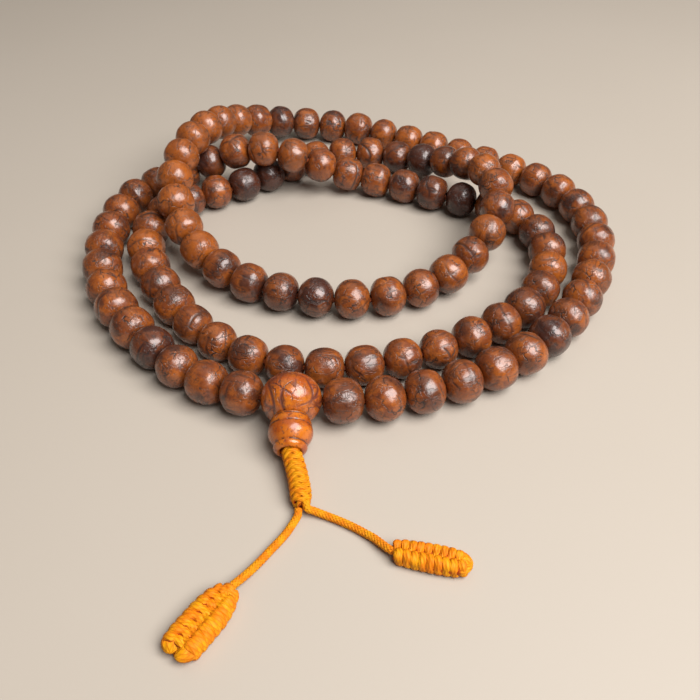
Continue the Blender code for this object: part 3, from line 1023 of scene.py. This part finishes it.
def knot_line():
    """The gathering knot's middle, from the tower bead's mouth to where the tails leave."""
    start = np.array(GURU_CENTRE + (MOUTH_BOTTOM + 0.0002) * DROP_AXIS)
    tails = np.array((LEFT_HINGE + RIGHT_HINGE) / 2)
    end = tails + 0.0011 * unit(start - tails)
    bow = 0.0004 * unit(np.cross(end - start, (0, 0, 1.0)))
    return [start, start + 0.4 * (end - start) - bow, start + 0.7 * (end - start) - bow, end]


def make_gather_knot(finish, core):
    """A thick round braid over the doubled cord, rounded at both ends."""
    spine = resampled(smooth_curve(knot_line()), 0.00016)

    def taper(share):
        shares = (0, 0.05, 0.12, 0.3, 0.6, 0.84, 0.94, 1.0)
        return np.interp(share, shares, (0.88, 0.94, 0.98, 1.0, 1.02, 1.03, 0.84, 0.46))

    bundle = Bundle()
    braid(
        bundle,
        spine,
        middle=KNOT_BRAID_RADIUS,
        strand_radius=KNOT_STRAND_RADIUS,
        pitch=KNOT_PITCH,
        pairs=3,
        weave=0.00014,
        taper=taper,
        flat=0.80,
        sides=10,
    )
    knot = bundle.piece("knot_braid", finish)
    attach(knot, "drop")
    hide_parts("gather_knot")

    middle = spine[::4]
    stem = [list(GURU_CENTRE + share * MOUTH_BOTTOM * DROP_AXIS) for share in (0.25, 0.6, 1.0)]
    inside = Bundle()
    inside.add(middle, KNOT_CORE_RADIUS * taper(np.linspace(0, 1, len(middle))), sides=14)
    inside.add(stem, STEM_RADIUS, sides=14)
    filling = inside.piece("knot_core", core)
    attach(filling, "drop")


# ---- Camera, light and floor ----------------------------------------------------------------


def make_camera():
    """It looks down over the guru bead and the tails."""
    data = bpy.data.cameras.new("camera")
    data.lens = CAMERA_LENS
    data.sensor_width = 36
    data.clip_start = 0.005
    camera = bpy.data.objects.new("camera", data)
    back = Vector((0, -math.cos(CAMERA_ELEVATION), math.sin(CAMERA_ELEVATION)))
    camera.location = CAMERA_TARGET + CAMERA_DISTANCE * back
    aim = (-back).to_track_quat("-Z", "Y").to_matrix()
    camera.rotation_euler = (aim @ Matrix.Rotation(CAMERA_ROLL, 3, "Z")).to_euler()
    bpy.context.scene.collection.objects.link(camera)
    bpy.context.scene.camera = camera


def soft_box(name, direction, distance, size, power, colour):
    """A square light that faces the middle of the beads."""
    data = bpy.data.lights.new(name, "AREA")
    data.size = size
    data.energy = power
    data.color = colour
    light = bpy.data.objects.new(name, data)
    away = Vector(direction).normalized()
    light.location = distance * away
    light.rotation_euler = away.to_track_quat("Z", "Y").to_euler()
    bpy.context.scene.collection.objects.link(light)


def make_lights():
    """A large window light from the right and in front, a weak one above, and a dim warm room."""
    soft_box("window", (0.475, -0.341, 0.821), 0.80, 0.66, 13.5, (1.0, 0.97, 0.95))
    soft_box("ceiling", (-0.10, 0.45, 1.0), 0.95, 0.90, 1.2, (1.0, 0.94, 0.86))
    world = bpy.data.worlds.new("studio")
    world.use_nodes = True
    sky = world.node_tree.nodes["Background"]
    sky.inputs["Color"].default_value = (1.0, 0.90, 0.80, 1.0)
    sky.inputs["Strength"].default_value = 0.10
    bpy.context.scene.world = world


def make_floor():
    """A flat square that the beads lie on."""
    reach = 1.6
    data = bpy.data.meshes.new("floor")
    corners = [(-reach, -reach, 0), (reach, -reach, 0), (reach, reach, 0), (-reach, reach, 0)]
    data.from_pydata(corners, [], [(0, 1, 2, 3)])
    data.materials.append(floor_material())
    floor = bpy.data.objects.new("floor", data)
    bpy.context.scene.collection.objects.link(floor)


def finish_string(material):
    """The string stays as the CAD made it, in a darker cord."""
    node = frame["nodes"]["stringing_cord"]
    node.data.materials.clear()
    node.data.materials.append(material)


def main():
    """Every piece in turn, then the lights and the floor."""
    bpy.context.scene.view_settings.view_transform = "Standard"
    make_camera()
    cord = cord_material("cord_wound", yarns=10, yarn_length=2.2)
    braided = cord_material("cord_braided", fine=0.3)
    # the knot's core is clouded with painted shade
    core = core_material("cord_core", CORD_PAINTED_SHADE, CORD_ORANGE)
    string = core_material("cord_string", (0.10, 0.014, 0.002, 1.0), (0.26, 0.045, 0.003, 1.0))
    left = make_leaf("leaf_left", LEFT_TAIL_ROUTE, LEFT_KNOT, "left", cord)
    right = make_leaf("leaf_right", RIGHT_TAIL_ROUTE, RIGHT_KNOT, "right", cord)
    make_tail("plait_left", LEFT_TAIL_ROUTE, 0.0, "left", braided)
    make_tail("plait_right", RIGHT_TAIL_ROUTE, RIGHT_ROOT_LIFT, "right", braided)
    make_gather_knot(cord, core)
    make_guru_bead()
    make_tower_bead()
    make_seed_beads()
    finish_string(string)
    make_lights()
    make_floor()


main()
